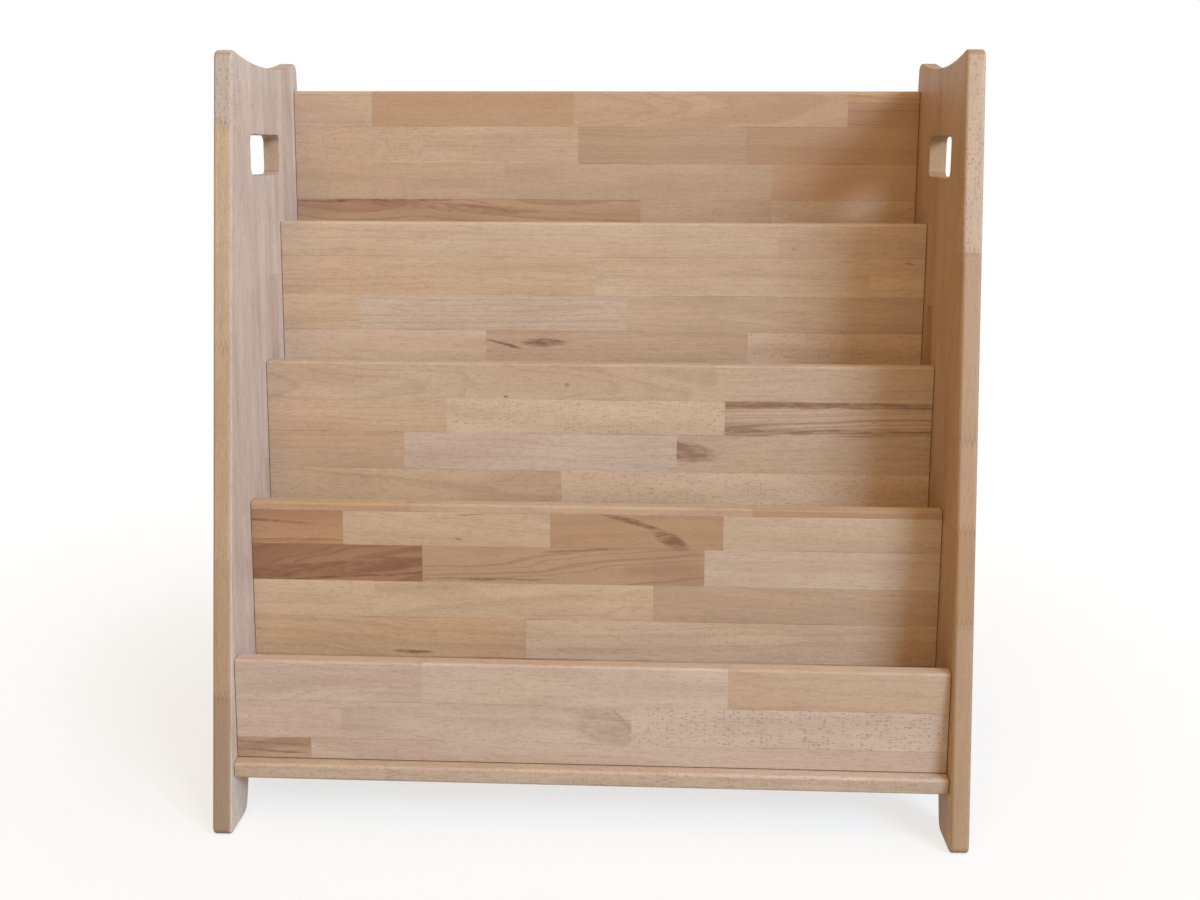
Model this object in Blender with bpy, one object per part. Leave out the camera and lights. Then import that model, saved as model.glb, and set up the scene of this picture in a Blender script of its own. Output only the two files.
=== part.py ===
"""Front-facing children's bookshelf in solid beech: two shaped side panels, a base shelf,
a front rail, four stepped boards that lean back, and three pocket floors, all held by
countersunk furniture screws. Metres, +Z up, front towards -Y, origin on the floor under
the middle of the shelf."""

import bmesh
import bpy
from math import acos, asin, atan2, ceil, cos, pi, radians, sin, tan
from mathutils import Matrix, Vector

# Overall width, and the timber stock with its rounded arrises
OVERALL_WIDTH = 0.800
PANEL_THICKNESS = 0.020
BOARD_THICKNESS = 0.018
PANEL_EDGE_RADIUS = 0.0035
BOARD_EDGE_RADIUS = 0.0035
HIDDEN_EDGE_RADIUS = 0.0012
JOINT_GAP = 0.0003

# Boards: the front rail is tier 1, and the highest board, at the back, is tier 5
BOARD_LEAN = radians(5.0)
RAIL_HEIGHT = 0.1095
TIER_RISES = (0.151, 0.143, 0.153, 0.152)
FIRST_TIER_SETBACK = 0.047
TIER_SETBACK = 0.086
POCKET_DEPTH = 0.110
BASE_FRONT_SETBACK = 0.024

# Side panel outline: the panels reach past the boards by the two reveals
TOP_REVEAL = 0.0345
BACK_REVEAL = 0.0015
BASE_OVER_ARCH = 0.0055
FRONT_TOP_SETBACK = 0.170
SWOOP_SAG = 0.0135
PEAK_RADIUS = 0.010
TOE_RADIUS = 0.009
HEEL_RADIUS = 0.008
FRONT_FOOT_DEPTH = 0.058
REAR_FOOT_DEPTH = 0.062
FOOT_ARCH_HEIGHT = 0.0515
FOOT_ARCH_RADIUS = 0.018
FOOT_ARCH_FLARE = radians(20.0)

# Hand slot in each side panel
SLOT_LENGTH = 0.109
SLOT_HEIGHT = 0.044
SLOT_RADIUS = 0.007
SLOT_EDGE_RADIUS = 0.0015
SLOT_TOP_WALL = 0.088

# Countersunk screws
SCREW_LENGTH = 0.050
SCREW_HEAD_RADIUS = 0.005
SCREW_NECK_RADIUS = 0.0035
SCREW_THREAD_RADIUS = 0.00275
SCREW_HEAD_HEIGHT = 0.0035
SCREW_NECK_END = 0.016
SCREW_TIP_LENGTH = 0.005
SOCKET_WIDTH = 0.004
SOCKET_DEPTH = 0.0022
SCREW_CLEARANCE = 0.0003
HEAD_RECESS = 0.0003
CUTTER_OVERRUN = 0.002
BOARD_SCREW_INSET = 0.038
RAIL_SCREW_INSET = 0.026
BASE_SCREW_INSET = 0.022
UNDER_SCREW_INSET = 0.180

# Mesh fineness
ROUND_STEPS = 2
ARC_ERROR = 0.0003
SWOOP_STEPS = 14
SCREW_SIDES = 12

# Finishes: linear RGB, roughness and metallic value
BEECH_BOARD = ((0.66, 0.44, 0.28, 1.0), 0.5, 0.0)
BEECH_PANEL = ((0.60, 0.38, 0.23, 1.0), 0.5, 0.0)
ZINC = ((0.62, 0.62, 0.60, 1.0), 0.35, 1.0)

TIER_NAMES = ("front_rail", "tier_board_2", "tier_board_3", "tier_board_4", "tier_board_5")
FLOOR_NAMES = ("base_shelf", "pocket_floor_2", "pocket_floor_3", "pocket_floor_4")

inner_half = OVERALL_WIDTH / 2 - PANEL_THICKNESS
board_half = inner_half - JOINT_GAP
lean_rise = tan(BOARD_LEAN)
board_run = BOARD_THICKNESS / cos(BOARD_LEAN)
gap_run = JOINT_GAP / cos(BOARD_LEAN)
base_top = FOOT_ARCH_HEIGHT + BASE_OVER_ARCH + BOARD_THICKNESS
tier_tops = [base_top + RAIL_HEIGHT + sum(TIER_RISES[:tier]) for tier in range(len(TIER_NAMES))]
last_tier = len(TIER_NAMES) - 1
panel_height = tier_tops[last_tier] + TOP_REVEAL
panel_depth = FIRST_TIER_SETBACK + TIER_SETBACK * last_tier + board_run + BACK_REVEAL
front_slope = atan2(FRONT_TOP_SETBACK, panel_height)
toe_recess = TOE_RADIUS * ((1 + sin(front_slope)) / cos(front_slope) - 1)


def to_row(depth, height):
    """Depths count from where the sloped front edges would meet the floor."""
    return (depth - (panel_depth + toe_recess) / 2, height)


def make_material(name, finish):
    colour, roughness, metallic = finish
    material = bpy.data.materials.new(name)
    material.use_nodes = True
    shader = material.node_tree.nodes["Principled BSDF"]
    shader.inputs["Base Color"].default_value = colour
    shader.inputs["Roughness"].default_value = roughness
    shader.inputs["Metallic"].default_value = metallic
    material.diffuse_color = colour
    return material


def add_object(name, mesh_data):
    obj = bpy.data.objects.new(name, mesh_data)
    bpy.context.collection.objects.link(obj)
    return obj


def rounded_outline(corners):
    """Points of a closed outline whose corners are (y, z, radius)."""
    points = []
    for index, (y, z, radius) in enumerate(corners):
        corner = Vector((y, z))
        if radius == 0.0:
            points.append(corner)
            continue
        before = Vector(corners[index - 1][:2])
        after = Vector(corners[(index + 1) % len(corners)][:2])
        to_before = (before - corner).normalized()
        to_after = (after - corner).normalized()
        half_angle = acos(max(-1.0, min(1.0, to_before.dot(to_after)))) / 2
        centre = corner + (to_before + to_after).normalized() * radius / sin(half_angle)
        start = corner + to_before * radius / tan(half_angle) - centre
        end = corner + to_after * radius / tan(half_angle) - centre
        sweep = atan2(start.x * end.y - start.y * end.x, start.dot(end))
        steps = ceil(abs(sweep) / (2 * acos(1 - ARC_ERROR / radius)))
        for step in range(steps + 1):
            turn = Matrix.Rotation(sweep * step / steps, 2)
            points.append(centre + turn @ start)
    return points


def inset_outline(points, distance):
    """Moves each point of a closed outline to the left of its direction."""
    moved = []
    for index, point in enumerate(points):
        along = (point - points[index - 1]).normalized()
        onward = (points[(index + 1) % len(points)] - point).normalized()
        first = Vector((-along.y, along.x))
        second = Vector((-onward.y, onward.x))
        moved.append(point + (first + second) * distance / (1.0 + first.dot(second)))
    return moved


def edge_stations(x_from, x_to, radius):
    """Where the rings of a rounded edge lie through a panel, and how far each is inset."""
    stations = []
    for step in range(ROUND_STEPS + 1):
        angle = pi / 2 * step / ROUND_STEPS
        stations.append((x_from + radius * (1 - cos(angle)), radius * (1 - sin(angle))))
    for step in range(ROUND_STEPS, -1, -1):
        angle = pi / 2 * step / ROUND_STEPS
        stations.append((x_to - radius * (1 - cos(angle)), radius * (1 - sin(angle))))
    return stations


def close_ring(bm, ring):
    count = len(ring)
    edges = []
    for index in range(count):
        pair = (ring[index], ring[(index + 1) % count])
        edges.append(bm.edges.get(pair) or bm.edges.new(pair))
    return edges


def panel_mesh(name, loops, x_from, x_to):
    """A flat panel: each loop is an outline, or an opening, and its arris radius."""
    bm = bmesh.new()
    outer_edges = []
    inner_edges = []
    for outline, radius in loops:
        rings = []
        for x, distance in edge_stations(x_from, x_to, radius):
            points = inset_outline(outline, distance)
            rings.append([bm.verts.new((x, p.x, p.y)) for p in points])
        for ring, next_ring in zip(rings, rings[1:]):
            for index in range(len(ring)):
                after = (index + 1) % len(ring)
                bm.faces.new((ring[index], ring[after], next_ring[after], next_ring[index]))
        outer_edges += close_ring(bm, rings[0])
        inner_edges += close_ring(bm, rings[-1])
    for edges in (outer_edges, inner_edges):
        bmesh.ops.triangle_fill(bm, use_beauty=True, use_dissolve=False, edges=edges)
    return finish_mesh(name, bm)


def bar_mesh(name, corners, half_length):
    """A straight bar: the section's corners are (depth, height, radius)."""
    outline = rounded_outline([(*to_row(y, z), r) for y, z, r in corners])
    bm = bmesh.new()
    ends = []
    for x in (-half_length, half_length):
        ends.append([bm.verts.new((x, p.x, p.y)) for p in outline])
    for index in range(len(outline)):
        after = (index + 1) % len(outline)
        bm.faces.new((ends[0][index], ends[0][after], ends[1][after], ends[1][index]))
    for end in ends:
        bm.faces.new(end)
    return finish_mesh(name, bm)


def screw_mesh(name, clearance, is_cutter):
    """A turned screw along +Z from its head at the origin, or the hole that takes it."""
    rings = [
        (SCREW_HEAD_RADIUS + clearance, 0.0),
        (SCREW_NECK_RADIUS + clearance, SCREW_HEAD_HEIGHT),
        (SCREW_NECK_RADIUS + clearance, SCREW_NECK_END + clearance),
        (SCREW_THREAD_RADIUS + clearance, SCREW_NECK_END + clearance),
        (SCREW_THREAD_RADIUS + clearance, SCREW_LENGTH - SCREW_TIP_LENGTH),
    ]
    if is_cutter:
        rings.insert(0, (SCREW_HEAD_RADIUS + clearance, -HEAD_RECESS - CUTTER_OVERRUN))
    bm = bmesh.new()
    turned = []
    for radius, height in rings:
        ring = []
        for side in range(SCREW_SIDES):
            angle = 2 * pi * side / SCREW_SIDES
            ring.append(bm.verts.new((radius * cos(angle), radius * sin(angle), height)))
        turned.append(ring)
    if not is_cutter:
        for height in (0.0, SOCKET_DEPTH):
            ring = []
            for side in range(SCREW_SIDES):
                angle = 2 * pi * side / SCREW_SIDES
                flat_turn = (angle + pi / 6) % (pi / 3) - pi / 6
                reach = SOCKET_WIDTH / 2 / cos(flat_turn)
                ring.append(bm.verts.new((reach * cos(angle), reach * sin(angle), height)))
            turned.insert(0, ring)
    for ring, next_ring in zip(turned, turned[1:]):
        for index in range(SCREW_SIDES):
            after = (index + 1) % SCREW_SIDES
            bm.faces.new((ring[index], ring[after], next_ring[after], next_ring[index]))
    bm.faces.new(turned[0])
    tip = bm.verts.new((0.0, 0.0, SCREW_LENGTH + clearance))
    for index in range(SCREW_SIDES):
        bm.faces.new((turned[-1][index], turned[-1][(index + 1) % SCREW_SIDES], tip))
    return finish_mesh(name, bm)


def finish_mesh(name, bm):
    bmesh.ops.recalc_face_normals(bm, faces=bm.faces)
    mesh_data = bpy.data.meshes.new(name)
    bm.to_mesh(mesh_data)
    bm.free()
    mesh_data.shade_smooth()
    mesh_data.set_sharp_from_angle(angle=radians(35.0))
    return mesh_data


def front_edge_depth(height):
    return height * tan(front_slope)


def tier_front(tier, height):
    """Depth of a tier board's front face at a height."""
    return FIRST_TIER_SETBACK + TIER_SETBACK * tier - lean_rise * (tier_tops[tier] - height)


def side_panel_loops():
    """Outline of a side panel and of its hand slot, both with material on their left, and
    the radius of their arrises."""
    arch_run = FOOT_ARCH_HEIGHT * tan(FOOT_ARCH_FLARE)
    arch_rear = panel_depth - REAR_FOOT_DEPTH
    corners = [
        (0.0, 0.0, TOE_RADIUS),
        (FRONT_FOOT_DEPTH, 0.0, HEEL_RADIUS),
        (FRONT_FOOT_DEPTH + arch_run, FOOT_ARCH_HEIGHT, FOOT_ARCH_RADIUS),
        (arch_rear - arch_run, FOOT_ARCH_HEIGHT, FOOT_ARCH_RADIUS),
        (arch_rear, 0.0, HEEL_RADIUS),
        (panel_depth, 0.0, TOE_RADIUS),
        (panel_depth, panel_height, PEAK_RADIUS),
    ]
    half_chord = (panel_depth - FRONT_TOP_SETBACK) / 2
    middle = (panel_depth + FRONT_TOP_SETBACK) / 2
    swoop_radius = (half_chord**2 + SWOOP_SAG**2) / (2 * SWOOP_SAG)
    swoop_centre = panel_height - SWOOP_SAG + swoop_radius
    reach = asin(half_chord / swoop_radius)
    for step in range(1, SWOOP_STEPS):
        angle = reach * (1 - 2 * step / SWOOP_STEPS)
        depth = middle + swoop_radius * sin(angle)
        corners.append((depth, swoop_centre - swoop_radius * cos(angle), 0.0))
    corners.append((FRONT_TOP_SETBACK, panel_height, PEAK_RADIUS))
    slot_top = panel_height - SLOT_TOP_WALL
    slot_bottom = slot_top - SLOT_HEIGHT
    slot_level = (slot_top + slot_bottom) / 2
    slot_middle = (front_edge_depth(slot_level) + tier_front(last_tier, slot_level)) / 2
    slot_front = slot_middle - SLOT_LENGTH / 2
    slot_rear = slot_middle + SLOT_LENGTH / 2
    lean_run = lean_rise * SLOT_HEIGHT / 2
    slot = [
        (slot_front - lean_run, slot_bottom, SLOT_RADIUS),
        (slot_front + lean_run, slot_top, SLOT_RADIUS),
        (slot_rear + lean_run, slot_top, SLOT_RADIUS),
        (slot_rear - lean_run, slot_bottom, SLOT_RADIUS),
    ]
    loops = []
    for shape, arris in ((corners, PANEL_EDGE_RADIUS), (slot, SLOT_EDGE_RADIUS)):
        outline = rounded_outline([(*to_row(y, z), r) for y, z, r in shape])
        loops.append((outline, arris))
    return loops


def floor_top(tier):
    """Height of the floor of the pocket behind a tier board."""
    return base_top if tier == 0 else tier_tops[tier] - POCKET_DEPTH


def board_bottom(tier):
    return floor_top(max(0, tier - 1)) + JOINT_GAP


def board_corners(tier):
    low = board_bottom(tier)
    high = tier_tops[tier]
    return [
        (tier_front(tier, low), low, HIDDEN_EDGE_RADIUS),
        (tier_front(tier, low) + board_run, low, HIDDEN_EDGE_RADIUS),
        (tier_front(tier, high) + board_run, high, BOARD_EDGE_RADIUS),
        (tier_front(tier, high), high, BOARD_EDGE_RADIUS),
    ]


def floor_corners(tier):
    """Section of the floor behind a tier board: it also carries the next board."""
    high = floor_top(tier)
    low = high - BOARD_THICKNESS
    if tier == 0:
        front_low = BASE_FRONT_SETBACK
        front_high = BASE_FRONT_SETBACK
        front_radius = BOARD_EDGE_RADIUS
    else:
        front_low = tier_front(tier, low) + board_run + gap_run
        front_high = tier_front(tier, high) + board_run + gap_run
        front_radius = HIDDEN_EDGE_RADIUS
    rear = tier_front(tier + 1, high) + board_run
    return [
        (front_low, low, front_radius),
        (rear, low, HIDDEN_EDGE_RADIUS),
        (rear, high, HIDDEN_EDGE_RADIUS),
        (front_high, high, front_radius),
    ]


def tier_screw_places(tier):
    """Where the screws enter the ends of a tier board."""
    inset = RAIL_SCREW_INSET if tier == 0 else BOARD_SCREW_INSET
    places = []
    for label, height in (("low", board_bottom(tier) + inset), ("high", tier_tops[tier] - inset)):
        places.append((label, tier_front(tier, height) + board_run / 2, height))
    return places


def floor_screw_places(tier, corners):
    """Where the screws enter the ends of a pocket floor, at half its thickness."""
    front = corners[0][0]
    rear = corners[1][0]
    height = floor_top(tier) - BOARD_THICKNESS / 2
    if tier == 0:
        return [("front", front + BASE_SCREW_INSET, height), ("rear", rear - BASE_SCREW_INSET, height)]
    return [("middle", (front + rear) / 2, height)]


def under_screws():
    """Screws that come up through a floor into the lower edge of the board it carries."""
    found = []
    reach = board_half - UNDER_SCREW_INSET
    for tier, board in enumerate(TIER_NAMES):
        carrier = max(0, tier - 1)
        underside = floor_top(carrier) - BOARD_THICKNESS
        entry = board_bottom(tier) + (SCREW_LENGTH - BOARD_THICKNESS) / 2
        y, z = to_row(tier_front(tier, entry) + board_run / 2, underside + HEAD_RECESS)
        for label, x in (("left", -reach), ("right", reach)):
            name = f"screw_under_{board}_{label}"
            found.append((name, Matrix.Translation((x, y, z)), (FLOOR_NAMES[carrier], board)))
    return found


def side_screws(board, places):
    """Screws that go through both side panels into the ends of one board."""
    found = []
    for side, sign in (("left", -1), ("right", 1)):
        turn = Matrix.Rotation(-sign * pi / 2, 4, "Y")
        for label, depth, height in places:
            y, z = to_row(depth, height)
            head = Matrix.Translation((sign * (OVERALL_WIDTH / 2 - HEAD_RECESS), y, z))
            name = f"screw_{side}_{board}_{label}"
            found.append((name, head @ turn, (f"side_panel_{side}", board)))
    return found


def cut_screw_holes(piece, screws):
    """One cutter holds every hole of the piece, so each piece has a single Boolean."""
    bm = bmesh.new()
    hole = screw_mesh("hole", SCREW_CLEARANCE, True)
    for matrix in screws:
        copy = hole.copy()
        copy.transform(matrix)
        bm.from_mesh(copy)
        bpy.data.meshes.remove(copy)
    bpy.data.meshes.remove(hole)
    holes = bpy.data.meshes.new(piece.name + "_holes")
    bm.to_mesh(holes)
    bm.free()
    cutter = bpy.data.objects.new(piece.name + "_holes", holes)
    bpy.context.collection.objects.link(cutter)
    cutter.hide_render = True
    cutter.display_type = "WIRE"
    modifier = piece.modifiers.new("screw holes", "BOOLEAN")
    modifier.operation = "DIFFERENCE"
    modifier.solver = "EXACT"
    modifier.object = cutter


for old in list(bpy.data.objects):
    bpy.data.objects.remove(old)

pieces = {}
screws = under_screws()

loops = side_panel_loops()
for side, outer, inner in (
    ("left", -OVERALL_WIDTH / 2, -inner_half),
    ("right", inner_half, OVERALL_WIDTH / 2),
):
    name = "side_panel_" + side
    pieces[name] = add_object(name, panel_mesh(name, loops, outer, inner))
    pieces[name].data.materials.append(make_material(name, BEECH_PANEL))

for tier, name in enumerate(TIER_NAMES):
    pieces[name] = add_object(name, bar_mesh(name, board_corners(tier), board_half))
    pieces[name].data.materials.append(make_material(name, BEECH_BOARD))
    screws += side_screws(name, tier_screw_places(tier))

for tier, name in enumerate(FLOOR_NAMES):
    corners = floor_corners(tier)
    pieces[name] = add_object(name, bar_mesh(name, corners, board_half))
    pieces[name].data.materials.append(make_material(name, BEECH_BOARD))
    screws += side_screws(name, floor_screw_places(tier, corners))

screw_body = screw_mesh("screw", 0.0, False)
screw_body.materials.append(make_material("zinc_screw", ZINC))
for name, matrix, held in screws:
    add_object(name, screw_body).matrix_world = matrix

for name, piece in pieces.items():
    cut_screw_holes(piece, [matrix for _, matrix, held in screws if name in held])
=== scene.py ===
import bpy
import random
from math import asin, atan2, cos, pi, radians, sin, tan
from mathutils import Matrix, Vector


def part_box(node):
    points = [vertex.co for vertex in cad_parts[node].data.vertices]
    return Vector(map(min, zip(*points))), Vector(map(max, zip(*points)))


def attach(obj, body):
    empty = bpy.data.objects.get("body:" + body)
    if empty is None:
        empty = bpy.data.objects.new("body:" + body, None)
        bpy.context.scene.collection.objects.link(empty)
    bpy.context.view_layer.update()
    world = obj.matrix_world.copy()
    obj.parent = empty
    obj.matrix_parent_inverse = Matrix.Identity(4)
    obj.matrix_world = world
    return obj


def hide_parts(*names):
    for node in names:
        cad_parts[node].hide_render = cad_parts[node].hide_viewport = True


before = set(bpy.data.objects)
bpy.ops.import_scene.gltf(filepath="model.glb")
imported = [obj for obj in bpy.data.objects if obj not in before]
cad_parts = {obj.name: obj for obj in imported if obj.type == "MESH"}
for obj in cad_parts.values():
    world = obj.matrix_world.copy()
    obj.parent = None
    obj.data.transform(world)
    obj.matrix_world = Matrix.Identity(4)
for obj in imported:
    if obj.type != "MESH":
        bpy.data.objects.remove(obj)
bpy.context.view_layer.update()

# Base shelf: the lowest board, level, screwed between the side panels and carrying the rail.
# Beech staves, finger-jointed end to end and glued edge to edge, planed to 18 mm, all
# arrises rounded over with a router, sanded and oiled.

MM = 0.001
BOARD_THICKNESS = 18 * MM
BOARD_ARRIS = 3.5 * MM
HIDDEN_ARRIS = 1.2 * MM
END_ARRIS = 1.1 * MM
STAVE_WIDTH = 42 * MM
STAVE_LENGTHS = (150 * MM, 420 * MM)
STAVE_CUT_AWAY = 60 * MM
NARROWEST_STAVE = 8 * MM
SCREW_LENGTH = 50 * MM
SCREW_HEAD_RADIUS = 5 * MM
SCREW_HEAD_HEIGHT = 3.5 * MM
SCREW_NECK_RADIUS = 3.5 * MM
SCREW_CLEARANCE = 0.3 * MM
SCREW_SIDES = 32
HOLE_LEAD = 2 * MM
NEAR = 0.2 * MM
SMOOTH_BELOW = radians(38)

# The tones of single staves, from pale pinkish sapwood to brown heartwood
BEECH_TONES = {
    # 'ash' is the panel's pale wood with painted light: paler and greyer for the cool window light on
    # the left panel's inner face
    "ash": "DDC8B7",
    "snow": "CDB699",
    "oat": "D1B496",
    "milk": "C7B09B",
    "rose": "C3AC98",
    "cream": "C2AA91",
    "pale": "C0A689",
    "linen": "CAAB89",
    "apricot": "CAA47C",
    "straw": "C0A181",
    "sand": "BB9F82",
    "tan": "B59779",
    "honey": "B1906F",
    "bronze": "AD8864",
    "fawn": "A98A6A",
    "tawny": "B48D68",
    "copper": "B48D5D",
    "amber": "AF8259",
    "russet": "A47F58",
    "hazel": "A5835F",
    "auburn": "A0794F",
    "umber": "936642",
    "wheat": "C9A077",
    "malt": "C1976A",
    "stone": "B3A598",
    "drab": "937A60",
}

# Where the heart of the log lay from the stave (across and behind, in metres), how the log
# tapered, and how strongly growth rings, ray flecks and brown heartwood show
BEECH_FIGURES = {
    "quarter": (0.150, 0.020, 0.010, 0.20, 0.25, 0.0),
    "rift": (0.070, 0.070, 0.020, 0.40, 0.35, 0.0),
    "cathedral": (0.006, 0.045, 0.030, 0.60, 0.40, 0.0),
    "flecked": (0.012, 0.090, 0.020, 0.15, 1.00, 0.0),
    "speckled": (0.012, 0.090, 0.020, 0.15, 2.60, 0.0),
    "streaked": (0.055, 0.030, 0.030, 1.20, 0.35, 0.7),
    "heart": (0.040, 0.030, 0.085, 1.80, 0.30, 1.0),
}


def linear(colour):
    """An sRGB hex colour as linear red, green, blue and alpha."""
    shares = [int(colour[start:start + 2], 16) / 255 for start in (0, 2, 4)]
    return [s / 12.92 if s <= 0.04045 else ((s + 0.055) / 1.055) ** 2.4 for s in shares] + [1.0]


def add(tree, kind, sockets=None, **settings):
    """Adds a shader node with its settings, fills its sockets and gives back its outputs."""
    made = tree.nodes.new("ShaderNode" + kind)
    for name, setting in settings.items():
        setattr(made, name, setting)
    for name, value in (sockets or {}).items():
        if isinstance(value, bpy.types.NodeSocket):
            tree.links.new(value, made.inputs[name])
        else:
            made.inputs[name].default_value = value
    return made.outputs


def maths(tree, operation, *values):
    """Adds a maths node and gives back its result."""
    return add(tree, "Math", dict(enumerate(values)), operation=operation)[0]


def fade(tree, pattern, nothing, full):
    """Turns a pattern into a share: none at the first value, all at the second, soft between."""
    return add(tree, "MapRange", {"Value": pattern, 1: nothing, 2: full},
               interpolation_type="SMOOTHSTEP")[0]


def waves(tree, place, along, across):
    """A place in the wood as so many waves to the metre along the grain and across it."""
    return add(tree, "VectorMath", {0: place, 1: (along, across, across)}, operation="MULTIPLY")[0]


def stave_values(tree, name):
    """The three values that a stave's faces carry under a name."""
    return add(tree, "SeparateXYZ", {0: add(tree, "Attribute", attribute_name=name)["Vector"]})


def brown_stroke(tree, letter, along, across):
    """How strongly one of a stave's two brown strokes shows: a lens that follows the grain."""
    middle_along, middle_across, length = stave_values(tree, "stroke_" + letter)
    width, slope, strength = stave_values(tree, "shape_" + letter)
    past = maths(tree, "SUBTRACT", along, middle_along)
    beside = maths(tree, "SUBTRACT", across, middle_across)
    beside = maths(tree, "MULTIPLY_ADD", past, slope, beside)
    beside = maths(tree, "DIVIDE", beside, width)
    past = maths(tree, "DIVIDE", past, length)
    off = add(tree, "CombineXYZ", {"X": past, "Y": beside})[0]
    off = add(tree, "VectorMath", {0: off}, operation="LENGTH")["Value"]
    share = fade(tree, off, 1.1, 0.6)
    return maths(tree, "MULTIPLY", share, strength)


# How far apart the growth rings lie and how far they wander, how ragged a brown stroke is and
# how far it pushes the rings aside, and the teeth of the finger joints
RING_SPACING = 4.6 * MM
RING_WANDER = 16 * MM
STROKE_RAGGED = 7 * MM
STROKE_PUSH = 6 * MM
FINGER_WIDTH = 2.4 * MM
FINGER_LENGTH = 11 * MM


def oiled_beech(name, grain, ends, feet):
    """Sanded, oiled beech: pale pinkish tan, hairline growth rings, short brown ray flecks,
    now and then brown heartwood, and a satin shine. The rows of grain are the directions
    along the fibres, across the staves and through the board. The last two values are how
    dark the end grain and the lower edge are painted: painted shade for the shadow in a joint."""
    material = bpy.data.materials.new(name)
    material.use_nodes = True
    tree = material.node_tree
    shader = tree.nodes["Principled BSDF"]
    place = add(tree, "TexCoord")["Object"]
    place = add(tree, "Mapping", {"Vector": place, "Rotation": grain.to_euler()})[0]
    along, across, through = add(tree, "SeparateXYZ", {0: place})
    tone = add(tree, "Attribute", attribute_name="tone")["Vector"]
    seed = add(tree, "Attribute", attribute_name="seed")["Fac"]
    log_across, log_through, log_taper = stave_values(tree, "log")
    ring_share, fleck_share, heart_share = stave_values(tree, "figure")
    start_along, start_across, _ = stave_values(tree, "start")
    end_along, end_across, _ = stave_values(tree, "end")

    # Growth rings: distance from the log's heart, which wanders along the stave
    sized = waves(tree, place, 5.0, 26.0)
    wander = add(tree, "TexNoise", {"Vector": sized, "W": seed, "Scale": 1.0, "Detail": 2.5},
                 noise_dimensions="4D")["Color"]
    wander = add(tree, "VectorMath", {0: wander, 1: (0.5, 0.5, 0.5)}, operation="SUBTRACT")[0]
    wander = add(tree, "VectorMath", {0: wander, "Scale": RING_WANDER}, operation="SCALE")[0]
    _, wander_across, wander_through = add(tree, "SeparateXYZ", {0: wander})
    drift = maths(tree, "MULTIPLY", along, log_taper)
    off_across = maths(tree, "SUBTRACT", across, log_across)
    off_across = maths(tree, "ADD", off_across, wander_across)
    off_through = maths(tree, "SUBTRACT", through, log_through)
    off_through = maths(tree, "ADD", off_through, wander_through)
    off_through = maths(tree, "ADD", off_through, drift)
    off = add(tree, "CombineXYZ", {"X": off_across, "Y": off_through})[0]
    reach = add(tree, "VectorMath", {0: off}, operation="LENGTH")["Value"]

    # Brown strokes and small knots, with wavy, smeared outlines; they push the rings aside
    ripple_place = waves(tree, place, 24.0, 70.0)
    ripple = add(tree, "TexNoise", {"Vector": ripple_place, "Scale": 1.0, "Detail": 3.0})["Fac"]
    smear = maths(tree, "MULTIPLY_ADD", ripple, STROKE_RAGGED, across)
    smear = maths(tree, "SUBTRACT", smear, STROKE_RAGGED / 2)
    first = brown_stroke(tree, "a", along, smear)
    second = brown_stroke(tree, "b", along, smear)
    stroke = maths(tree, "MAXIMUM", first, second)
    reach = maths(tree, "MULTIPLY_ADD", stroke, STROKE_PUSH, reach)

    # Rings 4 to 5 mm apart, each ending in a thin darker line; broader brown bands of heartwood
    ring_noise = maths(tree, "MULTIPLY", reach, 90.0)
    ring_noise = add(tree, "TexNoise", {"W": ring_noise, "Scale": 1.0, "Detail": 2.0},
                     noise_dimensions="1D")["Fac"]
    ring = maths(tree, "MULTIPLY", reach, 1 / RING_SPACING)
    ring = maths(tree, "MULTIPLY_ADD", ring_noise, 3.0, ring)
    ring = maths(tree, "FRACT", ring)
    late = fade(tree, ring, 0.55, 0.90)
    early = fade(tree, ring, 1.0, 0.90)
    late = maths(tree, "MULTIPLY", late, early)
    late = maths(tree, "MULTIPLY", late, ring_share)
    bands = maths(tree, "MULTIPLY", reach, 85.0)
    bands = add(tree, "TexNoise", {"Vector": sized, "W": bands, "Scale": 0.6, "Detail": 3.0},
                noise_dimensions="4D")["Fac"]
    heart = fade(tree, bands, 0.44, 0.60)
    heart = maths(tree, "MULTIPLY", heart, heart_share)
    swirl = waves(tree, place, 60.0, 260.0)
    swirl = add(tree, "TexNoise", {"Vector": swirl, "W": seed, "Scale": 1.0, "Detail": 3.0,
                                   "Distortion": 1.2}, noise_dimensions="4D")["Fac"]
    swirl = add(tree, "MapRange", {"Value": swirl, 1: 0.38, 2: 0.58, 3: 0.35, 4: 1.0})[0]
    marked = maths(tree, "MULTIPLY", swirl, stroke)

    # Ray flecks, short spindles along the grain, drawn 5 mm long where real ones are 2 to 4 mm
    fleck_place = waves(tree, place, 200.0, 700.0)
    fleck_gap, fleck_draw, *_ = add(tree, "TexVoronoi", {"Vector": fleck_place, "Scale": 1.0})
    fleck_draw = add(tree, "SeparateColor", {0: fleck_draw})[0]
    fleck = fade(tree, fleck_gap, 0.42, 0.18)
    some = add(tree, "MapRange", {"Value": fleck_draw, 1: 0.62, 2: 0.90})[0]
    fleck = maths(tree, "MULTIPLY", fleck, some)
    fleck = maths(tree, "MULTIPLY", fleck, fleck_share)

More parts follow.
